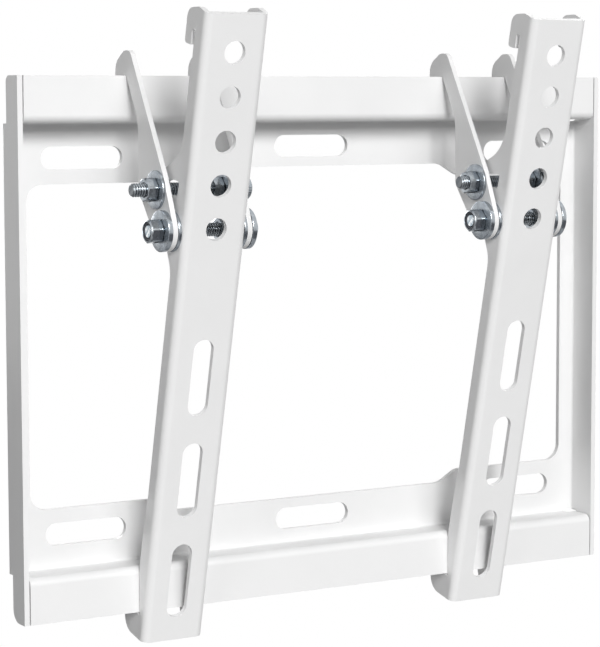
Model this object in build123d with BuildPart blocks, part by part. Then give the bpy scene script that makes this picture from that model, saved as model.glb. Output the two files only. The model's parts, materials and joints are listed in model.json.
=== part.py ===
from build123d import *
import os
from math import asin, atan2, cos, degrees, hypot, radians, sin, tan

# Tilting wall bracket for a flat screen: a folded wall plate with a rail along its top and its
# bottom, and two channel arms that each hang from the top rail by a pair of hook plates.
# Millimetres. X runs along the wall, +Z is up, the wall is the plane Y = 0 and the screen is
# on the side of -Y. The origin is the middle of the wall plate, on the wall.
# "Depth" below is the distance in front of the wall, so a point at a depth d has Y = -d.

# Sheet steel
sheet = 2.0                   # wall plate, arms
bend_inside = 1.0             # inside radius of every bend
hook_sheet = 2.0              # hook plates

# Wall plate
plate_width = 260.0
plate_height = 199.5
rail_depth = 15.5             # wall to the face of the rails
rail_height = 17.2            # height of the rail's face
flange_depth = 15.5           # wall to the front edge of the side flanges
rail_end_gap = 0.5            # rail end to side flange
ear_setback = 5.4             # wall to the back edge of the flange beside a rail
ear_top_radius = 2.5
ear_bottom_radius = 5.0
relief_radius = 1.6           # round relief where the bends of plate and flange meet
relief_length = 6.4
relief_rise = 0.8             # ledge to the middle of the relief
window_side_strip = 8.8       # side of the plate to the window
window_low_edge = 22.4        # height of the strip under a ledge, near the sides
window_high_edge = 17.4       # the same in the middle
window_middle_half = 64.8     # half width of the part where the strip is narrower
window_step_run = 8.4         # width of the slope between the two
window_step_radius = 8.0
window_corner_radius = 6.5

# Slots for the wall screws
wall_slot_length = 33.2
wall_slot_width = 8.4
outer_slot_x = 98.6
outer_slot_drop = 12.8        # ledge to the middle of an outer slot
middle_slot_drop = 9.5        # ledge to the middle of a middle slot

# Arms: their places along the rail, and the channel
left_arm_x = -70.8
right_arm_x = 68.3
channel_width = 25.4
neck_depth = 8.0              # flange depth above the ear
shank_depth = 7.5             # flange depth below the ear
heel_spread = 1.1             # how much deeper the flange is just above the heel
heel_depth = 4.7              # flange depth at the lower end of the heel
heel_run = 12.0               # length of the deeper part
heel_slope_run = 18.0         # length over which the flange spreads to it
toe_depth = 16.7              # depth of the toe that reaches back under the lower rail
toe_height = 9.5
toe_radius = 6.5
toe_inner_radius = 1.0
heel_radius = 0.4
heel_slope_radius = 10.0
heel_spread_radius = 20.0
toe_clearance = 0.6           # toe to the lower edge of the rail
heel_gap = 0.35               # heel to the face of the lower rail, at full tilt

# Top of the arm: a hook for hanging the arm flat on a rail
crown_rise = 1.2              # how far the flanges stand above the web
crown_front = 6.0             # front of the web to the top of the slope up to the hook
crown_foot = 0.6              # front of the web to the foot of that slope
crown_radius = 5.0
crown_foot_radius = 4.0
claw_depth = 14.0             # back of the hook
claw_length = 12.9            # arm's top to the tip of the hook
claw_radius = 4.2
claw_tip_radius = 1.3
claw_mouth_radius = 0.3
claw_slot_front = 7.35
claw_slot_width = 2.15
claw_slot_top = 7.4
claw_slot_radius = 0.6
claw_throat_end = 17.0
claw_throat_run = 3.0
claw_throat_radius = 1.0

# Holes of the web, measured from the arm's top
web_hole_diameter = 8.3
web_hole_first = 13.7
web_hole_pitch = 16.0
web_hole_count = 5
web_slot_length = 29.3
web_slot_width = 8.3
web_slot_first = 120.0        # first round hole to the middle of the first slot
web_slot_pitch = 40.0
web_slot_count = 3

# Pivot and lock bolt
pivot_drop = 55.5             # top of the upper rail to the pivot
pivot_out = 29.3              # face of the rails to the pivot
pivot_from_top = 80.3         # arm's top to the pivot, along the web
pivot_in_channel = 9.2        # front of the web to the pivot
lock_radius = 15.5            # pivot to lock bolt
lock_lean = 20.0              # degrees that the lock bolt stands behind the pivot
tilt_range = 26.0             # degrees from full forward tilt to full backward tilt
lock_spare = 2.0              # degrees of slot left past the lock bolt at either end
lock_slot_play = 0.3          # lock bolt to each side of its slot
lock_slot_corner = 0.9

# Ear of the arm's flange round the two bolts
ear_above_slot = 4.2          # lock slot to the ear's upper edge
ear_below_slot = 3.4          # end of the lock slot to the ear's lower edge
ear_upper_turn = 9.6          # degrees that the upper edge's normal lies before the slot's end
ear_lower_turn = 10.6         # degrees between the lower edge and the slot's end
ear_tip_radius = 7.0
ear_upper_fillet = 16.0
ear_lower_fillet = 12.0

# Hook plates
hook_clearance = 0.15         # hook throat to each face of the rail
hook_seat_gap = 0.05          # hook throat to the top of the rail
hook_prong = 6.6              # thickness of the prong behind the rail
hook_prong_length = 9.0
hook_rise = 9.2               # height above the rail
hook_shoulder_drop = 4.3      # hook's top to where its back edge turns forward
hook_shoulder_run = 7.2       # length of that slope along the depth
hook_lean = 29.8              # degrees of the neck from upright
hook_neck_width = 7.35
hook_back_behind_lock = 14.5  # lock bolt to the straight back edge
hook_corner_below_lock = 0.9
hook_bend_above_lock = 4.7
hook_end_radius = 7.4
hook_back_fillet = 18.0
hook_corner_fillet = 4.0
hook_bend_fillet = 5.0
hook_shoulder_fillet = 6.0
hook_crest_fillet = 4.0
hook_front_fillet = 3.5
hook_prong_back_fillet = 3.0
hook_prong_front_fillet = 1.5

# Fasteners
bolt_diameter = 5.0
bolt_fit = 0.08               # play of a bolt in a hole, a nut or a washer, on the radius
bolt_tip = 0.5                # chamfer at the end of a bolt
nut_across_flats = 8.0
nut_height = 4.0
nut_edge_angle = 30.0         # degrees of the chamfer round a nut's faces
hex_turn = -8.0               # degrees that the nuts are turned on their bolts
lock_nut_hex_height = 3.5
lock_nut_collar_height = 1.3
lock_nut_collar_diameter = 7.7
lock_nut_collar_rim = 0.7
lock_nut_collar_edge = 0.5    # chamfer at the end of the collar
lock_nut_lip = 0.4
insert_height = 1.1
pivot_washer_diameter = 15.0
pivot_washer_thickness = 2.0
spacer_thickness = 1.4        # washer between a hook plate and the arm
spacer_play = 0.02            # that washer to the arm's flange
lock_washer_diameter = 14.0
lock_washer_thickness = 1.3
lock_spacer_diameter = 10.0
inner_washer_thickness = 1.2
inner_pivot_washer_diameter = 10.0
inner_lock_washer_diameter = 14.0
button_head_diameter = 9.5
button_head_height = 2.7
button_top_diameter = 5.0
button_fullness = 0.72        # fullness of the dome: 0.5 would be a straight cone
button_socket_flats = 3.0
button_socket_depth = 1.5
cap_head_diameter = 8.5
cap_head_height = 5.0
cap_head_edge = 0.4
cap_socket_flats = 4.0
cap_socket_depth = 2.5
pivot_bolt_recess = 0.4       # end of the pivot bolt inside the collar of its nut
left_lock_reach = 5.0         # end of the left arm's lock bolt past its nut
right_lock_reach = 3.0        # the same on the right arm

# Places worked out from the sizes above
bend_outside = bend_inside + sheet
rail_top = plate_height / 2
rail_back = rail_depth - sheet
ledge_height = rail_top - rail_height
half_width = plate_width / 2
pivot_depth = rail_depth + pivot_out
pivot_height = rail_top - pivot_drop

# The toe swings past the lower edge of the lower rail, so it keeps outside that edge's circle.
toe_swing = hypot(pivot_depth - rail_back, pivot_height + rail_top) + toe_clearance
toe_from_top = pivot_from_top + toe_swing
arm_length = toe_from_top + toe_height

# Full forward tilt: the heel of the arm lies against the face of the lower rail.
heel_offset = heel_depth - pivot_in_channel
heel_reach = pivot_depth - rail_depth - heel_gap
tilt = degrees(asin(heel_reach / hypot(toe_swing, heel_offset)) - atan2(heel_offset, toe_swing))
tilt_sin = sin(radians(tilt))
tilt_cos = cos(radians(tilt))
arm_top_depth = pivot_depth + pivot_from_top * tilt_sin + pivot_in_channel * tilt_cos
arm_top_height = pivot_height + pivot_from_top * tilt_cos - pivot_in_channel * tilt_sin

lock_depth = pivot_depth - lock_radius * sin(radians(lock_lean))
lock_height = pivot_height + lock_radius * cos(radians(lock_lean))


def side_plane(x):
    """a plane across X: its own x is the depth from the wall, its own y is Z, it faces -X"""
    return Plane(origin=(x, 0, 0), x_dir=(0, -1, 0), z_dir=(-1, 0, 0))


def arm_plane(x):
    """a plane along the arm: its own x runs down the web, its own y runs back from its front"""
    return Plane(
        origin=(x, -arm_top_depth, arm_top_height),
        x_dir=(0, tilt_sin, -tilt_cos),
        z_dir=(1, 0, 0),
    )


def web_plane():
    """the front of the webs: its own x is X and its own y runs down the web, it faces back"""
    return Plane(
        origin=(0, -arm_top_depth, arm_top_height),
        x_dir=(1, 0, 0),
        z_dir=(0, tilt_cos, tilt_sin),
    )


def meet(point, angle, other, other_angle):
    """where two lines cross, each given by a point and its direction in degrees"""
    ax, ay = cos(radians(angle)), sin(radians(angle))
    bx, by = cos(radians(other_angle)), sin(radians(other_angle))
    along = ((other[0] - point[0]) * by - (other[1] - point[1]) * bx) / (ax * by - ay * bx)
    return (point[0] + along * ax, point[1] + along * ay)


def tangent_angle(point, centre, radius, side):
    """the direction in degrees from a point past a circle; side is 1 for its left, -1 its right"""
    out = hypot(centre[0] - point[0], centre[1] - point[1])
    ahead = degrees(atan2(centre[1] - point[1], centre[0] - point[0]))
    return ahead + side * degrees(asin(radius / out))


def round_corner(corner, radius):
    """rounds the corner of the present sketch that is nearest to a point"""
    fillet(vertices().sort_by_distance(Vector(corner[0], corner[1], 0))[0], radius)


def finish(piece, name):
    """names a finished piece and writes it"""
    piece.part.label = name
    export_step(piece.part, "parts/" + name + ".step")


def window_corners():
    """the window's outline: lower in the middle of each strip, with a slope on both sides"""
    side = half_width - window_side_strip
    near = ledge_height - window_low_edge
    far = ledge_height - window_high_edge
    quarter = [
        (side, near, window_corner_radius),
        (window_middle_half + window_step_run / 2, near, window_step_radius),
        (window_middle_half - window_step_run / 2, far, window_step_radius),
    ]
    upper = quarter + [(-x, z, r) for x, z, r in reversed(quarter)]
    return upper + [(-x, -z, r) for x, z, r in upper]


def make_wall_plate():
    """one folded sheet: window, slots, a rail along the top and bottom, a flange on each side"""
    flat_x = half_width - bend_outside
    flat_z = ledge_height + sheet - bend_outside
    rail_half = half_width - sheet - rail_end_gap
    window = window_corners()
    outer_z = ledge_height - outer_slot_drop
    middle_z = ledge_height - middle_slot_drop
    slot_places = [(x, z) for x in (-outer_slot_x, outer_slot_x) for z in (-outer_z, outer_z)]
    slot_places += [(0, middle_z), (0, -middle_z)]

    with BuildPart() as wall_plate:
        # the flat sheet on the wall
        with BuildSketch(Plane.XZ):
            Rectangle(2 * flat_x, 2 * flat_z)
        extrude(amount=sheet)

        # ledge and rail in one profile, folded forward and then up, and its mirror below
        with BuildSketch(side_plane(0)):
            with BuildLine():
                Polyline(
                    (0, flat_z - bend_outside),
                    (0, ledge_height + sheet),
                    (rail_back, ledge_height + sheet),
                    (rail_back, rail_top),
                    (rail_depth, rail_top),
                    (rail_depth, ledge_height),
                    (sheet, ledge_height),
                    (sheet, flat_z - bend_outside),
                    close=True,
                )
            make_face()
            round_corner((0, ledge_height + sheet), bend_outside)
            round_corner((rail_back, ledge_height + sheet), bend_inside)
            round_corner((rail_depth, ledge_height), bend_outside)
            round_corner((sheet, ledge_height), bend_inside)
            mirror(about=Plane.XZ)
        extrude(amount=rail_half, both=True)

        # side flanges: the bend beside the window, then an ear past each rail's end
        with BuildSketch(Plane(origin=(0, 0, ledge_height), x_dir=(1, 0, 0), z_dir=(0, 0, -1))):
            with BuildLine():
                Polyline(
                    (flat_x - bend_outside, 0),
                    (half_width, 0),
                    (half_width, flange_depth),
                    (half_width - sheet, flange_depth),
                    (half_width - sheet, sheet),
                    (flat_x - bend_outside, sheet),
                    close=True,
                )
            make_face()
            round_corner((half_width, 0), bend_outside)
            round_corner((half_width - sheet, sheet), bend_inside)
            mirror(about=Plane.YZ)
        extrude(amount=2 * ledge_height)
        for x in (-half_width, half_width - sheet):
            with BuildSketch(side_plane(x)):
                with Locations(((ear_setback + flange_depth) / 2, 0)):
                    Rectangle(flange_depth - ear_setback, 2 * rail_top)
                round_corner((ear_setback, rail_top), ear_top_radius)
                round_corner((ear_setback, -rail_top), ear_bottom_radius)
            extrude(amount=-sheet)

        # window and slots
        with BuildSketch(Plane.XZ):
            with BuildLine():
                Polyline(*[(x, z) for x, z, r in window], close=True)
            make_face()
            for x, z, r in window:
                round_corner((x, z), r)
            with Locations(*slot_places):
                SlotOverall(wall_slot_length, wall_slot_width)
        extrude(amount=sheet, mode=Mode.SUBTRACT)

        # reliefs where the bends meet, up to the flange's inner face
        relief_x = half_width - sheet - relief_radius
        relief_z = ledge_height + relief_rise
        with BuildSketch(Plane.XZ):
            with Locations(*[(x, z) for x in (-relief_x, relief_x) for z in (-relief_z, relief_z)]):
                SlotOverall(relief_length, 2 * relief_radius)
        extrude(amount=ear_setback, mode=Mode.SUBTRACT)
    finish(wall_plate, "wall_plate")


def lock_slot_angles():
    """the ends of the lock slot, in degrees back from the arm's upward direction"""
    at_rest = lock_lean + tilt
    past = lock_spare + degrees(asin((bolt_diameter / 2 + bolt_fit) / lock_radius))
    return (at_rest - tilt_range - past, at_rest + past)


def arm_outline():
    """the arm's side view as corners with their fillets: down the web, back and up the flange"""
    slot_reach = lock_radius + bolt_diameter / 2 + lock_slot_play
    slot_end = lock_slot_angles()[1]
    upper_slope = 90 - slot_end + ear_upper_turn
    lower_slope = slot_end - ear_lower_turn
    upper_side = slot_reach + ear_above_slot
    lower_side = slot_reach * sin(radians(ear_lower_turn)) + ear_below_slot
    upper_point = (
        pivot_from_top - upper_side * sin(radians(upper_slope)),
        pivot_in_channel + upper_side * cos(radians(upper_slope)),
    )
    lower_point = (
        pivot_from_top + lower_side * sin(radians(lower_slope)),
        pivot_in_channel + lower_side * cos(radians(lower_slope)),
    )
    ear_start = meet((0, neck_depth), 0, upper_point, upper_slope)
    ear_tip = meet(upper_point, upper_slope, lower_point, -lower_slope)
    ear_end = meet((0, shank_depth), 0, lower_point, -lower_slope)
    spread_depth = shank_depth + heel_spread
    spread_end = meet((0, spread_depth), 0, (toe_from_top, heel_depth), -tilt)[0]
    claw_top = (claw_depth - crown_front) * tan(radians(tilt)) - crown_rise
    return [
        (0, 0, 0),
        (arm_length, 0, 0),
        (arm_length, toe_depth, toe_radius),
        (toe_from_top, toe_depth, toe_inner_radius),
        (toe_from_top, heel_depth, heel_radius),
        (spread_end, spread_depth, heel_slope_radius),
        (spread_end - heel_run, spread_depth, heel_spread_radius),
        (spread_end - heel_run - heel_slope_run, shank_depth, heel_spread_radius),
        (*ear_end, ear_lower_fillet),
        (*ear_tip, ear_tip_radius),
        (*ear_start, ear_upper_fillet),
        (claw_throat_end + claw_throat_run, neck_depth, claw_throat_radius),
        (claw_throat_end, claw_slot_front, claw_throat_radius),
        (claw_slot_top, claw_slot_front, claw_slot_radius),
        (claw_slot_top, claw_slot_front + claw_slot_width, claw_slot_radius),
        (claw_length, claw_slot_front + claw_slot_width, claw_mouth_radius),
        (claw_length, claw_depth, claw_tip_radius),
        (claw_top, claw_depth, claw_radius),
        (-crown_rise, crown_front, crown_radius),
        (0, crown_foot, crown_foot_radius),
    ]


def make_arm(arm_x, name):
    """one channel: a web with holes and slots for the screen, and two flanges with ear and hook"""
    outline = arm_outline()
    slot_half = bolt_diameter / 2 + lock_slot_play
    first, last = lock_slot_angles()
    inner = lock_radius - slot_half
    outer = lock_radius + slot_half

    def on_ear(radius, angle):
        turn = radians(angle)
        return (pivot_from_top - radius * cos(turn), pivot_in_channel + radius * sin(turn))

    with BuildPart() as arm:
        # the flange outline, as wide as the channel
        with BuildSketch(arm_plane(arm_x - channel_width / 2)):
            with BuildLine():
                Polyline(*[(down, back) for down, back, r in outline], close=True)
            make_face()
            for down, back, r in outline:
                if r:
                    round_corner((down, back), r)
        extrude(amount=channel_width)
        web_edges = edges().filter_by(lambda e: e.length > arm_length / 2).group_by(Axis.Y)[0]
        fillet(web_edges, bend_outside)

        # the inside of the channel
        with BuildSketch(arm_plane(arm_x - channel_width / 2 + sheet)):
            with Locations((arm_length / 2, sheet + claw_depth + toe_depth)):
                Rectangle(2 * arm_length, 2 * (claw_depth + toe_depth))
        extrude(amount=channel_width - 2 * sheet, mode=Mode.SUBTRACT)

        # round holes and slots of the web
        with BuildSketch(web_plane()):
            with Locations(*[
                (arm_x, web_hole_first + web_hole_pitch * i) for i in range(web_hole_count)
            ]):
                Circle(web_hole_diameter / 2)
            with Locations(*[
                (arm_x, web_hole_first + web_slot_first + web_slot_pitch * i)
                for i in range(web_slot_count)
            ]):
                SlotOverall(web_slot_length, web_slot_width, rotation=90)
        extrude(amount=sheet, mode=Mode.SUBTRACT)

        # pivot hole and lock slot through both flanges
        with BuildSketch(arm_plane(arm_x - channel_width / 2)):
            with Locations((pivot_from_top, pivot_in_channel)):
                Circle(bolt_diameter / 2 + bolt_fit)
            with BuildLine():
                ThreePointArc(
                    on_ear(outer, first), on_ear(outer, (first + last) / 2), on_ear(outer, last)
                )
                Line(on_ear(outer, last), on_ear(inner, last))
                ThreePointArc(
                    on_ear(inner, last), on_ear(inner, (first + last) / 2), on_ear(inner, first)
                )
                Line(on_ear(inner, first), on_ear(outer, first))
            make_face()
            for radius in (inner, outer):
                for angle in (first, last):
                    round_corner(on_ear(radius, angle), lock_slot_corner)
        extrude(amount=channel_width, mode=Mode.SUBTRACT)
    finish(arm, name)


def make_hook_plate(x, name):
    """one flat hook plate whose left face is at x: hook over the rail, neck, round pivot end"""
    throat_back = rail_back - hook_clearance
    throat_front = rail_depth + hook_clearance
    seat = rail_top + hook_seat_gap
    down_the_neck = hook_lean - 90
    back_depth = lock_depth - hook_back_behind_lock
    lean_cos, lean_sin = cos(radians(hook_lean)), sin(radians(hook_lean))
    front_start = (throat_front + hook_neck_width * lean_cos, seat + hook_neck_width * lean_sin)
    pivot = (pivot_depth, pivot_height)

    neck_corner = meet((throat_front, seat), down_the_neck, (back_depth, 0), 90)
    back_corner = (back_depth, lock_height - hook_corner_below_lock)
    front_bend = meet(front_start, down_the_neck, (0, lock_height + hook_bend_above_lock), 0)
    front_angle = tangent_angle(front_bend, pivot, hook_end_radius, 1)
    back_angle = tangent_angle(back_corner, pivot, hook_end_radius, -1)
    end_corner = meet(front_bend, front_angle, back_corner, back_angle)
    top = rail_top + hook_rise
    top_front = meet(front_start, down_the_neck, (0, top), 0)
    prong_back = throat_back - hook_prong
    prong_tip = seat - hook_prong_length

    corners = [
        (*neck_corner, hook_back_fillet),
        (*back_corner, hook_corner_fillet),
        (*end_corner, hook_end_radius),
        (*front_bend, hook_bend_fillet),
        (*top_front, hook_front_fillet),
        (prong_back + hook_shoulder_run, top, hook_crest_fillet),
        (prong_back, top - hook_shoulder_drop, hook_shoulder_fillet),
        (prong_back, prong_tip, hook_prong_back_fillet),
        (throat_back, prong_tip, hook_prong_front_fillet),
        (throat_back, seat, 0),
        (throat_front, seat, 0),
    ]
    with BuildPart() as hook_plate:
        with BuildSketch(side_plane(x)):
            with BuildLine():
                Polyline(*[(depth, height) for depth, height, r in corners], close=True)
            make_face()
            for depth, height, r in corners:
                if r:
                    round_corner((depth, height), r)
            with Locations(pivot, (lock_depth, lock_height)):
                Circle(bolt_diameter / 2 + bolt_fit, mode=Mode.SUBTRACT)
        extrude(amount=-hook_sheet)
    finish(hook_plate, name)


def axis_of(place, x):
    """a plane across a bolt at x, facing +X; place is the bolt's depth and height"""
    return Plane(origin=(x, -place[0], place[1]), x_dir=(0, -1, 0), z_dir=(1, 0, 0))


def lengthwise(place, x):
    """a plane along a bolt: its own x is +X from x, its own y is the radius"""
    return Plane(origin=(x, -place[0], place[1]), x_dir=(1, 0, 0), z_dir=(0, -1, 0))


def make_washer(place, x, diameter, thickness, name):
    """a flat washer whose left face is at x"""
    with BuildPart() as washer:
        with BuildSketch(axis_of(place, x)):
            Circle(diameter / 2)
            Circle(bolt_diameter / 2 + bolt_fit, mode=Mode.SUBTRACT)
        extrude(amount=thickness)
    finish(washer, name)


def make_nut(place, x, name):
    """a plain hexagon nut whose left face is at x, chamfered on both faces"""
    corner = nut_across_flats / 2 / cos(radians(30))
    edge = (corner - nut_across_flats / 2) * tan(radians(nut_edge_angle))
    with BuildPart() as nut:
        with BuildSketch(axis_of(place, x)):
            RegularPolygon(nut_across_flats / 2, 6, major_radius=False, rotation=hex_turn)
            Circle(bolt_diameter / 2 + bolt_fit, mode=Mode.SUBTRACT)
        extrude(amount=nut_height)
        with BuildSketch(lengthwise(place, x)):
            with BuildLine():
                Polyline(
                    (0, 0),
                    (0, nut_across_flats / 2),
                    (edge, corner),
                    (nut_height - edge, corner),
                    (nut_height, nut_across_flats / 2),
                    (nut_height, 0),
                    close=True,
                )
            make_face()
        revolve(axis=Axis((x, -place[0], place[1]), (1, 0, 0)), mode=Mode.INTERSECT)
    finish(nut, name)


def make_lock_nut(place, x, name, insert_name):
    """a self-locking nut that ends at x on its right, and the plastic ring in its collar"""
    corner = nut_across_flats / 2 / cos(radians(30))
    edge = (corner - nut_across_flats / 2) * tan(radians(nut_edge_angle))
    bore = bolt_diameter / 2 + bolt_fit
    collar = lock_nut_collar_diameter / 2
    collar_inside = collar - lock_nut_collar_rim
    end = lock_nut_hex_height + lock_nut_collar_height
    turn_axis = Axis((x, -place[0], place[1]), (1, 0, 0))
    with BuildPart() as lock_nut:
        with BuildSketch(axis_of(place, x)):
            RegularPolygon(nut_across_flats / 2, 6, major_radius=False, rotation=hex_turn)
        extrude(amount=-lock_nut_hex_height)
        with BuildSketch(lengthwise(place, x)):
            with BuildLine():
                Polyline(
                    (0, bore),
                    (0, nut_across_flats / 2),
                    (-edge, corner),
                    (edge - lock_nut_hex_height, corner),
                    (-lock_nut_hex_height, nut_across_flats / 2),
                    (-lock_nut_hex_height, bore),
                    close=True,
                )
            make_face()
        revolve(axis=turn_axis, mode=Mode.INTERSECT)
        # the round collar, turned in over the ring at its end
        with BuildSketch(lengthwise(place, x)):
            with BuildLine():
                Polyline(
                    (-lock_nut_hex_height, collar_inside),
                    (-lock_nut_hex_height, collar),
                    (lock_nut_collar_edge - end, collar),
                    (-end, collar - lock_nut_collar_edge),
                    (-end, collar_inside - lock_nut_lip),
                    (lock_nut_lip - end, collar_inside - lock_nut_lip),
                    (lock_nut_lip - end, collar_inside),
                    close=True,
                )
            make_face()
        revolve(axis=turn_axis)
    finish(lock_nut, name)

    ring_space = lock_nut_collar_height - lock_nut_lip
    with BuildPart() as insert:
        with BuildSketch(axis_of(place, x - lock_nut_hex_height)):
            Circle(collar_inside)
            Circle(bore, mode=Mode.SUBTRACT)
        extrude(amount=-min(insert_height, ring_space))
    finish(insert, insert_name)


def make_button_bolt(place, start, head, name):
    """a bolt from start on the left to a domed head that lies at head on the right"""
    radius = bolt_diameter / 2
    dome = button_head_diameter / 2
    top = button_top_diameter / 2
    half_height = button_head_height / 2
    middle = top + (dome - top) * button_fullness
    with BuildPart() as bolt:
        with BuildSketch(lengthwise(place, 0)):
            with BuildLine():
                Polyline(
                    (start, 0),
                    (start, radius - bolt_tip),
                    (start + bolt_tip, radius),
                    (head, radius),
                    (head, dome),
                )
                ThreePointArc(
                    (head, dome), (head + half_height, middle), (head + button_head_height, top)
                )
                Polyline((head + button_head_height, top), (head + button_head_height, 0), (start, 0))
            make_face()
        revolve(axis=Axis((0, -place[0], place[1]), (1, 0, 0)))
        with BuildSketch(axis_of(place, head + button_head_height)):
            RegularPolygon(button_socket_flats / 2, 6, major_radius=False)
        extrude(amount=-button_socket_depth, mode=Mode.SUBTRACT)
    finish(bolt, name)


def make_cap_bolt(place, start, head, name):
    """a bolt from start on the left to a round socket head that lies at head on the right"""
    radius = bolt_diameter / 2
    rim = cap_head_diameter / 2
    top = head + cap_head_height
    with BuildPart() as bolt:
        with BuildSketch(lengthwise(place, 0)):
            with BuildLine():
                Polyline(
                    (start, 0),
                    (start, radius - bolt_tip),
                    (start + bolt_tip, radius),
                    (head, radius),
                    (head, rim),
                    (top - cap_head_edge, rim),
                    (top, rim - cap_head_edge),
                    (top, 0),
                    close=True,
                )
            make_face()
        revolve(axis=Axis((0, -place[0], place[1]), (1, 0, 0)))
        with BuildSketch(axis_of(place, top)):
            RegularPolygon(cap_socket_flats / 2, 6, major_radius=False)
        extrude(amount=-cap_socket_depth, mode=Mode.SUBTRACT)
    finish(bolt, name)


def make_hanger(arm_x, lock_reach, side):
    """the two hook plates of one arm with the pivot bolt, the lock bolt and all that is on them"""
    pivot = (pivot_depth, pivot_height)
    lock = (lock_depth, lock_height)
    stand_off = spacer_thickness + spacer_play
    flange_left = arm_x - channel_width / 2
    flange_right = arm_x + channel_width / 2
    nut_plate = flange_left - stand_off - hook_sheet
    head_plate = flange_right + stand_off
    plate_face = head_plate + hook_sheet
    channel_wall = flange_right - sheet

    make_hook_plate(nut_plate, side + "_hook_plate_nut_side")
    make_hook_plate(head_plate, side + "_hook_plate_head_side")

    # pivot: head, thick washer, plate, spacer, flange, washer and nut inside the channel,
    # then the other flange, spacer, plate, thick washer and self-locking nut
    nut_seat = nut_plate - pivot_washer_thickness
    nut_end = nut_seat - lock_nut_hex_height - lock_nut_collar_height
    wide = pivot_washer_diameter
    inside = channel_wall - inner_washer_thickness
    make_button_bolt(
        pivot, nut_end + pivot_bolt_recess, plate_face + pivot_washer_thickness,
        side + "_pivot_bolt",
    )
    make_lock_nut(pivot, nut_seat, side + "_pivot_lock_nut", side + "_pivot_lock_nut_insert")
    make_washer(pivot, nut_seat, wide, pivot_washer_thickness, side + "_pivot_washer_nut_side")
    make_washer(pivot, plate_face, wide, pivot_washer_thickness, side + "_pivot_washer_head_side")
    make_washer(
        pivot, nut_plate + hook_sheet, wide, spacer_thickness, side + "_pivot_spacer_nut_side"
    )
    make_washer(
        pivot, head_plate - spacer_thickness, wide, spacer_thickness,
        side + "_pivot_spacer_head_side",
    )
    make_washer(
        pivot, inside, inner_pivot_washer_diameter, inner_washer_thickness,
        side + "_pivot_inner_washer",
    )
    make_nut(pivot, inside - nut_height, side + "_pivot_inner_nut")

    # lock bolt: the same way, with its nut outside the plate on the left
    lock_seat = nut_plate - lock_washer_thickness
    make_cap_bolt(lock, lock_seat - nut_height - lock_reach, plate_face, side + "_lock_bolt")
    make_nut(lock, lock_seat - nut_height, side + "_lock_nut")
    make_washer(
        lock, lock_seat, lock_washer_diameter, lock_washer_thickness, side + "_lock_washer"
    )
    make_washer(
        lock, nut_plate + hook_sheet, lock_spacer_diameter, spacer_thickness,
        side + "_lock_spacer_nut_side",
    )
    make_washer(
        lock, head_plate - spacer_thickness, lock_spacer_diameter, spacer_thickness,
        side + "_lock_spacer_head_side",
    )
    make_washer(
        lock, inside, inner_lock_washer_diameter, inner_washer_thickness,
        side + "_lock_inner_washer",
    )
    make_nut(lock, inside - nut_height, side + "_lock_inner_nut")


os.makedirs("parts", exist_ok=True)
make_wall_plate()
for side, arm_x, lock_reach in (
    ("left", left_arm_x, left_lock_reach),
    ("right", right_arm_x, right_lock_reach),
):
    make_arm(arm_x, side + "_arm")
    make_hanger(arm_x, lock_reach, side)
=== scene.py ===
import json
import math

import bmesh
import bpy
from mathutils import Matrix, Vector


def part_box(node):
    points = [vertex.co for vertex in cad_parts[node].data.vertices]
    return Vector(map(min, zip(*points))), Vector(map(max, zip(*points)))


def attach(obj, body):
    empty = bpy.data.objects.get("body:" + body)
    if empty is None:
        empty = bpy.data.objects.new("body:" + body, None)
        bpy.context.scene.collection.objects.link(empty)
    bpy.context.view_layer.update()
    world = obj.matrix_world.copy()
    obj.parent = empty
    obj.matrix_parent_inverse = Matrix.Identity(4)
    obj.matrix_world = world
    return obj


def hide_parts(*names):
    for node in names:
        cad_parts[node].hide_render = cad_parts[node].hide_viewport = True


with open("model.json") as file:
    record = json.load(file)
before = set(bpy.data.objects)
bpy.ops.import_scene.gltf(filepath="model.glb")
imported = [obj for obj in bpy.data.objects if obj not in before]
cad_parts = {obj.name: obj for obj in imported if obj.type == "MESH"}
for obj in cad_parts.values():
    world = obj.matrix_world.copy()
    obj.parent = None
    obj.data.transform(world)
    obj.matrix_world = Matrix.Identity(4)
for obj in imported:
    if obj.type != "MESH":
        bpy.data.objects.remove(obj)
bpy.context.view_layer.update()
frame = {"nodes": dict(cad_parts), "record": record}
nodes = frame["nodes"]
print("frame loaded:", len(nodes), "nodes")

mm = 0.001


# Shader building
noiseSpan = (0.3, 0.7)  # nearly all of a noise lies in it


def newMaterial(name):
    material = bpy.data.materials.new(name)
    material.use_nodes = True
    tree = material.node_tree
    return material, tree, tree.nodes["Principled BSDF"]


def addNode(tree, kind, x, y, values=None, **settings):
    node = tree.nodes.new(kind)
    node.location = (x, y)
    for key, value in settings.items():
        setattr(node, key, value)
    for key, value in (values or {}).items():
        node.inputs[key].default_value = value
    return node


def addNoise(tree, coords, x, y, scale, detail=2.0, rough=0.5):
    noise = addNode(tree, "ShaderNodeTexNoise", x, y, {
        "Scale": scale, "Detail": detail, "Roughness": rough,
    })
    tree.links.new(coords.outputs["Object"], noise.inputs["Vector"])
    return noise.outputs["Fac"]


def addRamp(tree, source, x, y, stops):
    ramp = addNode(tree, "ShaderNodeValToRGB", x, y)
    while len(ramp.color_ramp.elements) < len(stops):
        ramp.color_ramp.elements.new(0.5)
    for element, (place, colour) in zip(ramp.color_ramp.elements, stops):
        element.position = place
        element.color = (*colour, 1.0)
    tree.links.new(source, ramp.inputs["Fac"])
    return ramp.outputs["Color"]


def addRange(tree, source, x, y, inLow, inHigh, outLow, outHigh):
    spread = addNode(tree, "ShaderNodeMapRange", x, y, {
        "From Min": inLow, "From Max": inHigh, "To Min": outLow, "To Max": outHigh,
    })
    tree.links.new(source, spread.inputs["Value"])
    return spread.outputs["Result"]


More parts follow.
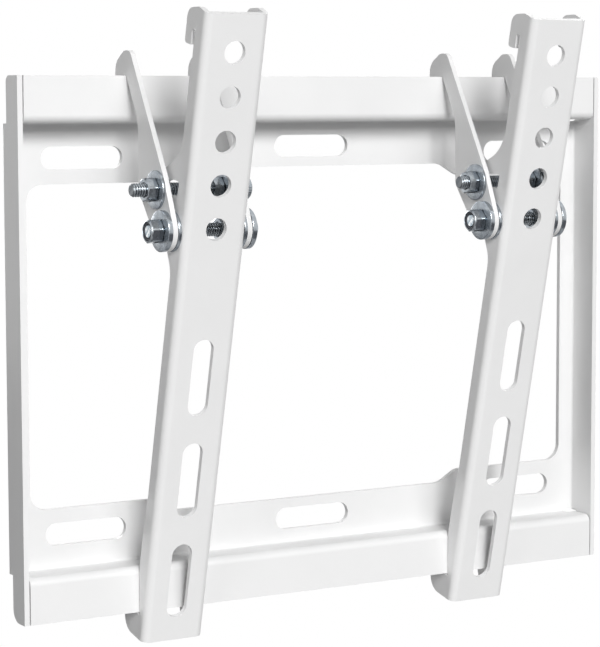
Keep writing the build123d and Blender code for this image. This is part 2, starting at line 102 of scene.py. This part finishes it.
def addMix(tree, factor, first, second, x, y, blend="MIX"):
    mix = addNode(tree, "ShaderNodeMix", x, y, data_type="RGBA", blend_type=blend)
    tree.links.new(factor, mix.inputs["Factor"])
    for socket, source in ((mix.inputs[6], first), (mix.inputs[7], second)):
        if isinstance(source, tuple):
            socket.default_value = (*source, 1.0)
        else:
            tree.links.new(source, socket)
    return mix.outputs[2]


def addBump(tree, height, x, y, depth, strength=1.0, under=None):
    bump = addNode(tree, "ShaderNodeBump", x, y, {"Strength": strength, "Distance": depth})
    tree.links.new(height, bump.inputs["Height"])
    if under is not None:
        tree.links.new(under, bump.inputs["Normal"])
    return bump.outputs["Normal"]


def grey(value, tint=(1.0, 1.0, 1.0)):
    return tuple(value * t for t in tint)


# White powder coat: fine orange peel, faint cloudiness and a slightly uneven satin
powderCoat = {
    "shade": 0.77,
    "cloudShade": 0.755,
    "cloudScale": 55.0,
    "satinScale": 420.0,
    "roughLow": 0.285,  # lower than 0.28 leaves specks in a denoised render
    "roughHigh": 0.35,
    "peelScale": 900.0,
    "peelDepth": 0.012 * mm,
    "speckScale": 2600.0,
    "speckDepth": 0.003 * mm,
    "ior": 1.5,
}


def makePowderCoat(p):
    material, tree, shader = newMaterial("whitePowderCoat")
    shader.inputs["IOR"].default_value = p["ior"]
    coords = addNode(tree, "ShaderNodeTexCoord", -1200, 0)
    cloud = addNoise(tree, coords, -950, 250, p["cloudScale"], detail=3.0)
    low, high = noiseSpan
    stops = [(low, grey(p["cloudShade"])), (high, grey(p["shade"]))]
    colour = addRamp(tree, cloud, -500, 300, stops)
    tree.links.new(colour, shader.inputs["Base Color"])
    satin = addNoise(tree, coords, -950, 0, p["satinScale"])
    rough = addRange(tree, satin, -500, 30, *noiseSpan, p["roughLow"], p["roughHigh"])
    tree.links.new(rough, shader.inputs["Roughness"])
    peel = addNoise(tree, coords, -950, -250, p["peelScale"], detail=1.5)
    speck = addNoise(tree, coords, -950, -500, p["speckScale"], detail=1.0)
    peelNormal = addBump(tree, peel, -450, -250, p["peelDepth"])
    speckNormal = addBump(tree, speck, -250, -350, p["speckDepth"], under=peelNormal)
    tree.links.new(speckNormal, shader.inputs["Normal"])
    return material


# Bright zinc plating with a bluish cast, mottled, with the turned or rolled marks of the steel
zincPlate = {
    "mottle": [
        (0.28, (0.25, 0.28, 0.315)),
        (0.50, (0.36, 0.40, 0.445)),
        (0.74, (0.52, 0.565, 0.61)),
    ],
    "mottleScale": 330.0,
    "roughLow": 0.13,
    "roughHigh": 0.28,
    "stain": (0.46, 0.45, 0.41),
    "stainScale": 120.0,
    "stainAmount": 0.25,
    "markScale": 2300.0,
    "markDepth": 0.005 * mm,
    "markWobble": 3.0,
    "grooveFrom": 2.12 * mm,  # painted shade: the thread's root and the bolt's flat end are darkened, standing in for shade in the groove; the crest keeps the plating's colour
    "grooveTo": 2.46 * mm,
    "paintedGrooveShade": 0.42,
    # the cut end's colours: bare steel, and a near-white far brighter than steel, which is a
    # painted sheen
    "sawnSheen": [(0.40, (0.42, 0.50, 0.56)), (0.60, (0.92, 0.95, 0.97))],
    "sawnScale": 620.0,
    "sawnDepth": 0.10 * mm,
}


def addAxisDistance(tree, coords, x, y):
    flat = addNode(tree, "ShaderNodeVectorMath", x, y, {1: (0, 1, 1)}, operation="MULTIPLY")
    tree.links.new(coords.outputs["Object"], flat.inputs[0])
    away = addNode(tree, "ShaderNodeVectorMath", x + 180, y, operation="LENGTH")
    tree.links.new(flat.outputs["Vector"], away.inputs[0])
    return away.outputs["Value"]


def addMarks(tree, coords, x, y, p, turned):
    if not turned:
        return addNoise(tree, coords, x, y, p["markScale"], detail=3.0)
    rings = addNode(tree, "ShaderNodeTexWave", x, y, {
        "Scale": p["markScale"], "Distortion": p["markWobble"],
        "Detail": 1.0, "Detail Scale": 0.4,
    }, wave_type="RINGS", rings_direction="X")  # the piece's own X is its axis
    tree.links.new(coords.outputs["Object"], rings.inputs["Vector"])
    return rings.outputs["Fac"]


def makeZinc(name, p, turned=True, shadeGrooves=False, sawnSheenEnd=False):
    material, tree, shader = newMaterial(name)
    shader.inputs["Metallic"].default_value = 1.0
    coords = addNode(tree, "ShaderNodeTexCoord", -1400, 0)
    mottle = addNoise(tree, coords, -1100, 300, p["mottleScale"], detail=4.0, rough=0.6)
    stain = addNoise(tree, coords, -1100, 600, p["stainScale"])
    stained = addRange(tree, stain, -800, 600, *noiseSpan, 0.0, p["stainAmount"])
    plated = addRamp(tree, mottle, -800, 350, p["mottle"])
    plated = addMix(tree, stained, plated, p["stain"], -450, 400)
    # painted shade in the thread: the colour darkens towards the axis, over the roots and over
    # the bolt's flat end
    if shadeGrooves:
        away = addAxisDistance(tree, coords, -1100, 800)
        threadShadeMask = addRange(tree, away, -650, 800, p["grooveFrom"], p["grooveTo"], 1.0, 0.0)
        plated = addMix(tree, threadShadeMask, plated, grey(p["paintedGrooveShade"]), -250, 600, "MULTIPLY")
    if sawnSheenEnd:  # the bolt's left end, where its own X starts: bare cut steel, partly a near-white far brighter than steel, which is a painted sheen
        parts = addNode(tree, "ShaderNodeSeparateXYZ", -1100, 1000)
        tree.links.new(coords.outputs["Object"], parts.inputs["Vector"])
        depth = p["sawnDepth"]
        near = addRange(tree, parts.outputs["X"], -850, 1000, depth, depth * 2, 1.0, 0.0)
        cut = addNoise(tree, coords, -850, 1300, p["sawnScale"])
        sawnSheenColour = addRamp(tree, cut, -600, 1300, p["sawnSheen"])
        plated = addMix(tree, near, plated, sawnSheenColour, -50, 700)
    tree.links.new(plated, shader.inputs["Base Color"])
    rough = addRange(tree, mottle, -800, 50, *noiseSpan, p["roughHigh"], p["roughLow"])
    tree.links.new(rough, shader.inputs["Roughness"])
    marks = addMarks(tree, coords, -1100, -200, p, turned)
    tree.links.new(addBump(tree, marks, -450, -200, p["markDepth"]), shader.inputs["Normal"])
    return material


nylonRing = {
    "low": (0.045, 0.05, 0.06),
    "high": (0.075, 0.08, 0.095),
    "roughLow": 0.45,
    "roughHigh": 0.65,
    "grainScale": 1500.0,
    "grainDepth": 0.01 * mm,
    "grainStrength": 0.6,
}


def makeNylon(p):
    material, tree, shader = newMaterial("nylon")
    coords = addNode(tree, "ShaderNodeTexCoord", -1200, 0)
    grain = addNoise(tree, coords, -950, 100, p["grainScale"])
    low, high = noiseSpan
    colour = addRamp(tree, grain, -500, 250, [(low, p["low"]), (high, p["high"])])
    tree.links.new(colour, shader.inputs["Base Color"])
    rough = addRange(tree, grain, -500, 0, *noiseSpan, p["roughLow"], p["roughHigh"])
    tree.links.new(rough, shader.inputs["Roughness"])
    normal = addBump(tree, grain, -450, -200, p["grainDepth"], p["grainStrength"])
    tree.links.new(normal, shader.inputs["Normal"])
    return material


whiteCoat = makePowderCoat(powderCoat)
zincTurned = makeZinc("zincTurned", zincPlate)
zincRolled = makeZinc("zincRolled", zincPlate, turned=False)
zincThreadShaded = makeZinc("zincThreadShaded", zincPlate, shadeGrooves=True)
zincSawnSheenShadedThread = makeZinc("zincSawnSheenShadedThread", zincPlate, shadeGrooves=True, sawnSheenEnd=True)
nylon = makeNylon(nylonRing)
print("materials made")


# Sheet metal: a copy of each folded or punched piece with its sharp edges rounded by the coat
coatedEdge = {
    "weld": 0.002 * mm,
    "flatUpTo": math.radians(0.6),
    "sharpFrom": math.radians(48),
    "smoothUpTo": math.radians(32),
    "radius": 0.22 * mm,
    "segments": 2,
}


def linkPiece(name, work):
    mesh = bpy.data.meshes.new(name)
    work.to_mesh(mesh)
    work.free()
    piece = bpy.data.objects.new(name, mesh)
    bpy.context.scene.collection.objects.link(piece)
    return piece


def shadeSmooth(work, smoothUpTo):
    for face in work.faces:
        face.smooth = True
    for edge in work.edges:
        if len(edge.link_faces) == 2:
            edge.smooth = edge.calc_face_angle(0.0) < smoothUpTo


def bodyOf(name):
    bodies = frame["record"]["behaviour"]["bodies"]
    return next(body for body, members in bodies.items() if name in members)


def softenSheet(name, p):
    work = bmesh.new()
    work.from_mesh(nodes[name].data)
    bmesh.ops.remove_doubles(work, verts=work.verts, dist=p["weld"])
    bmesh.ops.dissolve_limit(
        work, angle_limit=p["flatUpTo"], verts=work.verts, edges=work.edges,
    )
    sharp = [
        e for e in work.edges
        if len(e.link_faces) == 2 and e.calc_face_angle(0.0) > p["sharpFrom"]
    ]
    bmesh.ops.bevel(
        work, geom=sharp, offset=p["radius"], offset_type="OFFSET", segments=p["segments"],
        profile=0.5, affect="EDGES", clamp_overlap=True, miter_outer="ARC",
    )
    bmesh.ops.triangulate(work, faces=[f for f in work.faces if len(f.verts) > 4])
    shadeSmooth(work, p["smoothUpTo"])
    piece = linkPiece(name + "_coated", work)
    piece.data.materials.append(whiteCoat)
    normals = piece.modifiers.new("faceNormals", "WEIGHTED_NORMAL")
    normals.keep_sharp = True
    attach(piece, bodyOf(name))
    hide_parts(name)
    return piece


sheetNames = ["wall_plate"]
for side in ("left", "right"):
    sheetNames += [side + "_arm", side + "_hook_plate_nut_side", side + "_hook_plate_head_side"]
for name in sheetNames:
    softened = softenSheet(name, coatedEdge)
    print("softened", name, len(softened.data.polygons), "faces")


# Round and hexagonal pieces: each mesh is made about its own X axis, at its place on the bolt
def evenAngles(count):
    return [2 * math.pi * i / count for i in range(count)]


def ringPoints(xs, radii, angles):  # one x and one radius, or one for each angle
    xs = xs if isinstance(xs, list) else [xs] * len(angles)
    radii = radii if isinstance(radii, list) else [radii] * len(angles)
    return [(x, r * math.cos(a), r * math.sin(a)) for x, r, a in zip(xs, radii, angles)]


def circle(x, radius, count):
    return ringPoints(x, radius, evenAngles(count))


def addLoops(work, rings):
    return [[work.verts.new(point) for point in ring] for ring in rings]


def skinLoops(work, loops, closed=False):
    pairs = list(zip(loops, loops[1:]))
    if closed:
        pairs.append((loops[-1], loops[0]))
    for first, second in pairs:
        for i in range(len(first)):
            j = (i + 1) % len(first)
            work.faces.new((first[i], first[j], second[j], second[i]))
    return loops


def skinRings(work, rings, closed=False):
    return skinLoops(work, addLoops(work, rings), closed)


def capLoop(work, loop, x):
    middle = work.verts.new((x, 0, 0))
    for i in range(len(loop)):
        work.faces.new((loop[i], loop[(i + 1) % len(loop)], middle))


def roundCorners(points, radii, steps=3, longest=0.45):
    result = []  # a closed profile of (x, radius) points with its corners rounded
    for i, (point, radius) in enumerate(zip(points, radii)):
        here = Vector(point)
        if radius <= 0:
            result.append(tuple(here))
            continue
        before = Vector(points[i - 1]) - here
        after = Vector(points[(i + 1) % len(points)]) - here
        half = before.angle(after) / 2
        reach = min(radius / math.tan(half), before.length * longest, after.length * longest)
        start, end = here + before.normalized() * reach, here + after.normalized() * reach
        for k in range(steps + 1):
            t = k / steps
            result.append(tuple(start * (1 - t) ** 2 + here * 2 * t * (1 - t) + end * t ** 2))
    return result


def boltPlace(node):  # the left end of a piece on its bolt's axis, its length and its radius
    low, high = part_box(node)
    place = Vector((low.x, (low.y + high.y) / 2, (low.z + high.z) / 2))
    return place, high.x - low.x, (high.z - low.z) / 2


def finishPiece(work, node, ending, body, material, place, smoothUpTo):
    bmesh.ops.recalc_face_normals(work, faces=work.faces)
    shadeSmooth(work, smoothUpTo)
    piece = linkPiece(node + ending, work)
    piece.location = place
    piece.data.materials.append(material)
    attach(piece, body)
    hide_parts(node)


def finishPlated(work, node, body, material, place, smoothUpTo):
    finishPiece(work, node, "_plated", body, material, place, smoothUpTo)


washerLook = {
    "bore": 2.58 * mm,
    "edge": 0.18 * mm,
    "backEdge": 0.6,  # as a share of the front edge
    "boreEdge": 0.10 * mm,
    "dish": 0.24 * mm,  # blanked washers are slightly domed
    "dishLimit": 0.25,  # as a share of the thickness
    "play": 0.01 * mm,  # keeps its faces out of its neighbours' faces
    "count": 96,
    "smoothUpTo": math.radians(35),
}


def makeWasher(node, body, p):
    place, thick, radius = boltPlace(node)
    place.x += p["play"]
    thick -= 2 * p["play"]
    dish = min(p["dish"], thick * p["dishLimit"])
    profile = roundCorners(
        [(0, p["bore"]), (dish, radius), (thick, radius), (thick, p["bore"])],
        [p["boreEdge"], p["edge"], p["edge"] * p["backEdge"], p["boreEdge"]],
    )
    work = bmesh.new()
    skinRings(work, [circle(x, r, p["count"]) for x, r in profile], closed=True)
    finishPlated(work, node, body, zincTurned, place, p["smoothUpTo"])


# Hexagon nut: corners cut by a cone on both faces, and a countersunk bore
nutLook = {
    "flats": 8.0 * mm,
    "height": 4.0 * mm,
    "faceCircle": 0.955,
    "coneAngle": math.radians(30),
    "cornerRound": 0.035,
    "bore": 2.58 * mm,
    "countersink": 0.30 * mm,
    "turn": math.radians(-12),
    "count": 120,
    "smoothUpTo": math.radians(24),
}


def hexRadius(angle, flats, cornerRound):
    turn = (angle + math.pi / 6) % (math.pi / 3) - math.pi / 6
    sharp = flats / 2 / math.cos(turn)
    corner = flats / 2 / math.cos(math.pi / 6) * (1 - cornerRound)
    return min(sharp, corner)


def hexOutline(p):
    angles = evenAngles(p["count"])
    hexes = [hexRadius(a + math.pi / 6, p["flats"], p["cornerRound"]) for a in angles]
    return hexes, [a + p["turn"] for a in angles]


def nutFace(p, hexes, angles, height, outward):  # from the corners to the bore
    sink = p["countersink"]
    face = p["flats"] / 2 * p["faceCircle"]
    cuts = [(r - face) * math.tan(p["coneAngle"]) for r in hexes]
    return [
        ringPoints([height - outward * c for c in cuts], hexes, angles),
        ringPoints(height, face, angles),
        ringPoints(height, p["bore"] + sink, angles),
        ringPoints(height - outward * sink, p["bore"], angles),
    ]


def makeNut(node, body, p):
    place = boltPlace(node)[0]
    hexes, angles = hexOutline(p)
    near = nutFace(p, hexes, angles, 0, -1)
    far = nutFace(p, hexes, angles, p["height"], 1)
    work = bmesh.new()
    skinRings(work, near[::-1] + far, closed=True)
    finishPlated(work, node, body, zincRolled, place, p["smoothUpTo"])


# Self-locking nut: a hexagon whose outer end is rolled in over a nylon ring
lockNutLook = {
    "height": 4.8 * mm,
    "lip": 3.42 * mm,
    "lipRound": 0.12 * mm,
    "lipDepth": 0.40 * mm,
    "lipSlope": 0.6,  # as a share of its depth
    "outerRound": 0.40 * mm,  # the rolled end is round, nearly as wide as the flats
    "outerWidth": 3.96 * mm,
    "outerSteps": 5,
    "ring": 3.62 * mm,
    "ringDepth": 1.30 * mm,
    "ringBoreEdge": 0.25 * mm,
    "ringEdge": 0.05 * mm,
    "ringCount": 72,
    "ringSmoothUpTo": math.radians(35),
}


def makeLockNut(node, insertNode, body, p, hexLook):
    place = boltPlace(node)[0]  # its left end, where the ring is
    hexes, angles = hexOutline(hexLook)
    mouth = [
        ringPoints(x, r, angles) for x, r in (
            (p["ringDepth"], hexLook["bore"]),
            (p["ringDepth"], p["ring"]),
            (p["lipDepth"], p["ring"]),
            (p["lipDepth"] * p["lipSlope"], p["lip"]),
            (p["lipRound"], p["lip"]),
            (0, p["lip"] + p["lipRound"]),
        )
    ]
    outer, wide = p["outerRound"], p["outerWidth"]
    for k in range(p["outerSteps"] + 1):
        a = math.pi / 2 * k / p["outerSteps"]
        x, r = outer * (1 - math.cos(a)), wide - outer * (1 - math.sin(a))
        mouth.append(ringPoints(x, r, angles))
    slope = math.tan(hexLook["coneAngle"])
    mouth.append(ringPoints([outer + (r - wide) * slope for r in hexes], hexes, angles))
    far = nutFace(hexLook, hexes, angles, p["height"], 1)
    work = bmesh.new()
    skinRings(work, mouth + far, closed=True)
    finishPlated(work, node, body, zincRolled, place, hexLook["smoothUpTo"])

    place, thick, _ = boltPlace(insertNode)
    profile = roundCorners(
        [(0, hexLook["bore"]), (0, p["ring"]), (thick, p["ring"]), (thick, hexLook["bore"])],
        [p["ringBoreEdge"], p["ringEdge"], 0, 0],
    )
    work = bmesh.new()
    skinRings(work, [circle(x, r, p["ringCount"]) for x, r in profile], closed=True)
    finishPiece(work, insertNode, "_nylon", body, nylon, place, p["ringSmoothUpTo"])


# Bolts: a rolled thread on the shank, a chamfered end, and a head with a hexagon socket
threadLook = {
    "pitch": 1.0 * mm,
    "radius": 2.5 * mm,
    "depth": 0.42 * mm,
    "crest": 0.22,  # as shares of the pitch
    "root": 0.20,
    "endDip": 0.02 * mm,
    "stepsPerPitch": 10,
    "count": 40,
    "smoothUpTo": math.radians(28),
}


def threadRadius(phase, p):
    phase = phase % 1.0
    ramp = (1 - p["crest"] - p["root"]) / 2
    if phase < p["crest"]:
        cut = 0.0
    elif phase < p["crest"] + ramp:
        cut = (phase - p["crest"]) / ramp
    elif phase < p["crest"] + ramp + p["root"]:
        cut = 1.0
    else:
        cut = (1 - phase) / ramp
    return p["radius"] - p["depth"] * cut


def threadRings(length, p, tip):
    steps = max(2, round(length / p["pitch"] * p["stepsPerPitch"]))
    angles = evenAngles(p["count"])
    rings = []
    for k in range(steps + 1):
        x = length * k / steps
        tipRadius = p["radius"] - tip + x  # the cone at the bolt's end
        radii = [
            min(threadRadius(x / p["pitch"] - i / p["count"], p), tipRadius)
            for i in range(p["count"])
        ]
        rings.append(ringPoints(x, radii, angles))
    return rings


socketLook = {
    "bevel": 0.12 * mm,
    "cone": 0.30 * mm,  # the drill's point at its floor
    "cornerRound": 0.01,
}


def hexSocket(work, outerLoop, x, flats, depth, p):
    angles = evenAngles(len(outerLoop))
    shape = [hexRadius(a, flats, p["cornerRound"]) for a in angles]
    rings = [
        ringPoints(x, [r + p["bevel"] for r in shape], angles),
        ringPoints(x - p["bevel"], shape, angles),
        ringPoints(x - depth, shape, angles),
    ]
    loops = skinLoops(work, [outerLoop] + addLoops(work, rings))
    capLoop(work, loops[-1], x - depth - p["cone"])


def makeBolt(node, body, head, headRings, thread, material):
    place, length, _ = boltPlace(node)
    under = length - head["height"]
    work = bmesh.new()
    shank = skinRings(work, threadRings(under, thread, head["tip"]))
    capLoop(work, shank[0], thread["endDip"])
    loops = skinRings(work, headRings(under, head))
    capLoop(work, loops[0], under)
    hexSocket(work, loops[-1], length, head["socket"], head["socketDepth"], socketLook)
    finishPlated(work, node, body, material, place, thread["smoothUpTo"])


capHead = {
    "diameter": 8.5 * mm,
    "height": 5.0 * mm,
    "underEdge": 0.15 * mm,
    "plainBase": 0.7 * mm,
    "baseInset": 0.02 * mm,
    "knurls": 48,
    "knurlDepth": 0.10 * mm,
    "knurlRun": 0.12 * mm,
    "edge": 0.45 * mm,
    "edgeInset": 0.06 * mm,
    "faceInset": 0.10 * mm,
    "socket": 4.0 * mm,
    "socketDepth": 2.5 * mm,
    "tip": 0.55 * mm,
    "count": 288,
}


def capHeadRings(start, p):
    angles = evenAngles(p["count"])
    full = p["diameter"] / 2
    plain = full - p["baseInset"]
    base, end = start + p["plainBase"], start + p["height"]
    knurled = [full - p["knurlDepth"] * (0.5 + 0.5 * math.cos(a * p["knurls"])) for a in angles]
    profile = [
        (start, full - p["underEdge"]),
        (start + p["underEdge"], plain),
        (base, plain),
        (base + p["knurlRun"], knurled),
        (end - p["edge"] - p["knurlRun"], knurled),
        (end - p["edge"], full - p["edgeInset"]),
        (end - p["edgeInset"], full - p["edge"]),
        (end, full - p["edge"] - p["faceInset"]),
    ]
    return [ringPoints(x, r, angles) for x, r in profile]


buttonHead = {
    "diameter": 9.5 * mm,
    "height": 2.7 * mm,
    "underInset": 0.10 * mm,
    "underEdge": 0.12 * mm,
    "rim": 0.35 * mm,
    "rimInset": 0.01 * mm,
    "top": 2.5 * mm,
    "domeSteps": 8,
    "socket": 3.0 * mm,
    "socketDepth": 1.5 * mm,
    "tip": 0.35 * mm,
    "count": 96,
}


def buttonHeadRings(start, p):
    full, rim, top = p["diameter"] / 2, p["rim"], p["top"]
    profile = [
        (start, full - p["underInset"]),
        (start + p["underEdge"], full),
        (start + rim, full - p["rimInset"]),
    ]
    for k in range(1, p["domeSteps"] + 1):
        a = math.pi / 2 * k / p["domeSteps"]
        x = start + rim + (p["height"] - rim) * math.sin(a)
        profile.append((x, top + (full - top) * math.cos(a)))
    return [circle(x, r, p["count"]) for x, r in profile]


washerNames = (
    "pivot_washer_nut_side", "pivot_washer_head_side", "pivot_spacer_nut_side",
    "pivot_spacer_head_side", "pivot_inner_washer", "lock_washer",
    "lock_spacer_nut_side", "lock_spacer_head_side", "lock_inner_washer",
)
nutNames = ("pivot_inner_nut", "lock_nut", "lock_inner_nut")
for side in ("left", "right"):
    hanger = side + "_hanger"
    for name in washerNames:
        makeWasher(side + "_" + name, hanger, washerLook)
    for name in nutNames:
        makeNut(side + "_" + name, hanger, nutLook)
    pivotNut = side + "_pivot_lock_nut"
    makeLockNut(pivotNut, pivotNut + "_insert", hanger, lockNutLook, nutLook)
    makeBolt(side + "_pivot_bolt", hanger, buttonHead, buttonHeadRings, threadLook, zincSawnSheenShadedThread)
    makeBolt(side + "_lock_bolt", hanger, capHead, capHeadRings, threadLook, zincThreadShaded)
print("fasteners made")


# Floor, light and camera
room = {
    "floorDrop": 0.42,
    "floorSize": 9.0,
    "floorCells": 8,
    "floorColour": (0.62, 0.62, 0.62),
    "floorRough": 0.9,
    "floorGloss": 0.1,
    "floorNear": 0.70,  # beyond this distance the floor turns into plain white
    "floorFar": 1.20,
    "worldLight": 0.02,
    "worldSeen": 1.0,
}


def directionOf(turn, rise):  # in degrees, from straight in front of the wall
    turn, rise = math.radians(turn), math.radians(rise)
    level = math.cos(rise)
    return Vector((math.sin(turn) * level, -math.cos(turn) * level, math.sin(rise)))


def faceTo(thing, direction, axis):
    thing.rotation_mode = "QUATERNION"
    thing.rotation_quaternion = direction.to_track_quat(axis, "Y")


def addSeenRays(tree):  # 1 for what the camera sees, straight or in a reflection
    path = addNode(tree, "ShaderNodeLightPath", -900, -200)
    glossy = addNode(tree, "ShaderNodeMath", -650, -200, operation="MAXIMUM")
    clear = addNode(tree, "ShaderNodeMath", -450, -200, operation="MAXIMUM")
    tree.links.new(path.outputs["Is Camera Ray"], glossy.inputs[0])
    tree.links.new(path.outputs["Is Glossy Ray"], glossy.inputs[1])
    tree.links.new(glossy.outputs[0], clear.inputs[0])
    tree.links.new(path.outputs["Is Transmission Ray"], clear.inputs[1])
    return clear.outputs[0]


def flatPanel(name, wide, high, cells):
    work = bmesh.new()
    bmesh.ops.create_grid(work, x_segments=cells, y_segments=cells, size=0.5)
    bmesh.ops.scale(work, vec=(wide, high, 1), verts=work.verts)
    return linkPiece(name, work)


def makeFloor(p):
    floor = flatPanel("floor", p["floorSize"], p["floorSize"], p["floorCells"])
    floor.location = (0, 0, -p["floorDrop"])
    material, tree, shader = newMaterial("paleFloor")
    shader.inputs["Base Color"].default_value = (*p["floorColour"], 1.0)
    shader.inputs["Roughness"].default_value = p["floorRough"]
    shader.inputs["Specular IOR Level"].default_value = p["floorGloss"]
    coords = addNode(tree, "ShaderNodeTexCoord", -900, 400)
    away = addNode(tree, "ShaderNodeVectorMath", -700, 400, operation="LENGTH")
    tree.links.new(coords.outputs["Object"], away.inputs[0])
    fade = addNode(tree, "ShaderNodeMapRange", -500, 400, {
        "From Min": p["floorNear"], "From Max": p["floorFar"],
    }, interpolation_type="SMOOTHSTEP")
    tree.links.new(away.outputs["Value"], fade.inputs["Value"])
    far = addNode(tree, "ShaderNodeEmission", -300, 100)
    tree.links.new(addSeenRays(tree), far.inputs["Strength"])
    both = addNode(tree, "ShaderNodeMixShader", 350, 200)
    tree.links.new(fade.outputs["Result"], both.inputs["Fac"])
    tree.links.new(shader.outputs["BSDF"], both.inputs[1])
    tree.links.new(far.outputs["Emission"], both.inputs[2])
    tree.links.new(both.outputs["Shader"], tree.nodes["Material Output"].inputs["Surface"])
    floor.data.materials.append(material)


def makeWorld(p):
    world = bpy.data.worlds.new("studio")
    bpy.context.scene.world = world
    world.use_nodes = True
    tree = world.node_tree
    back = tree.nodes["Background"]
    back.inputs["Color"].default_value = (1, 1, 1, 1)
    seen = addSeenRays(tree)
    strength = addRange(tree, seen, -200, -200, 0.0, 1.0, p["worldLight"], p["worldSeen"])
    tree.links.new(strength, back.inputs["Strength"])


# Lamps stand by their turn and rise in degrees; distances and sizes in metres, power in watts
lamps = {
    "key": {"turn": -14, "rise": 25, "far": 5.0, "wide": 1.5, "high": 2.0, "power": 206.0},
    "fill": {"turn": 6, "rise": 33, "far": 5.0, "wide": 1.5, "high": 1.5, "power": 72.0},
    "left": {"turn": -66, "rise": 10, "far": 4.0, "wide": 1.3, "high": 2.0, "power": 27.0},
    "right": {"turn": 118, "rise": 24, "far": 3.0, "wide": 1.6, "high": 1.2, "power": 26.0},
    "behind": {"turn": 176, "rise": 14, "far": 3.0, "wide": 1.6, "high": 1.4, "power": 38.0},
}


def makeLamp(name, p):
    light = bpy.data.lights.new(name, "AREA")
    light.shape = "RECTANGLE"
    light.size, light.size_y = p["wide"], p["high"]
    light.energy = p["power"]
    lamp = bpy.data.objects.new(name, light)
    bpy.context.scene.collection.objects.link(lamp)
    away = directionOf(p["turn"], p["rise"])
    lamp.location = away * p["far"]
    faceTo(lamp, -away, "-Z")


# Dark cards that only the reflections see, low in front and low behind: they shape the metal
cards = {
    "frontCard": {
        "turn": 20, "rise": -26, "far": 0.62, "wide": 1.5, "high": 0.55, "tip": 22,
        "shade": 0.36,
    },
    "backCard": {
        "turn": -142, "rise": -21.5, "far": 0.75, "wide": 1.0, "high": 0.42, "tip": 10,
        "shade": 0.12,
    },
}
cardTint = (1.0, 1.0, 1.06)


def makeCard(name, p):
    card = flatPanel(name, p["wide"], p["high"], 2)
    card.location = directionOf(p["turn"], p["rise"]) * p["far"]
    faceTo(card, -directionOf(p["turn"], p["rise"] - p["tip"]), "Z")
    card.visible_camera = False
    card.visible_diffuse = False
    card.visible_shadow = False
    material, _, shader = newMaterial(name)
    shader.inputs["Base Color"].default_value = (*grey(p["shade"], cardTint), 1.0)
    shader.inputs["Roughness"].default_value = 1.0
    shader.inputs["Specular IOR Level"].default_value = 0.0
    card.data.materials.append(material)


# The camera that was fitted to the photograph
cameraLook = {
    "place": (-0.465598, -0.779950, 0.089104),
    "yaw": 30.611,
    "pitch": 5.404,
    "roll": -0.173,
    "focalPixels": 2317.261,
    "frameWidth": 600.0,
    "sensor": 36.0,
    "clip": (0.01, 50.0),
}


def makeCamera(p):
    data = bpy.data.cameras.new("camera")
    data.sensor_fit = "HORIZONTAL"
    data.sensor_width = p["sensor"]
    data.lens = p["focalPixels"] * p["sensor"] / p["frameWidth"]
    data.clip_start, data.clip_end = p["clip"]
    camera = bpy.data.objects.new("camera", data)
    bpy.context.scene.collection.objects.link(camera)
    yaw, pitch, roll = (math.radians(p[k]) for k in ("yaw", "pitch", "roll"))
    level = math.cos(pitch)
    ahead = Vector((math.sin(yaw) * level, math.cos(yaw) * level, -math.sin(pitch)))
    right = Vector((math.cos(yaw), -math.sin(yaw), 0))
    up = right.cross(ahead)
    tiltedRight = right * math.cos(roll) + up * math.sin(roll)
    tiltedUp = up * math.cos(roll) - right * math.sin(roll)
    turn = Matrix((tiltedRight, tiltedUp, -ahead)).transposed()
    camera.matrix_world = Matrix.Translation(p["place"]) @ turn.to_4x4()
    bpy.context.scene.camera = camera


makeFloor(room)
makeWorld(room)
for name, settings in lamps.items():
    makeLamp(name, settings)
for name, settings in cards.items():
    makeCard(name, settings)
makeCamera(cameraLook)
bpy.context.scene.view_settings.view_transform = "Standard"
print("studio and camera set")
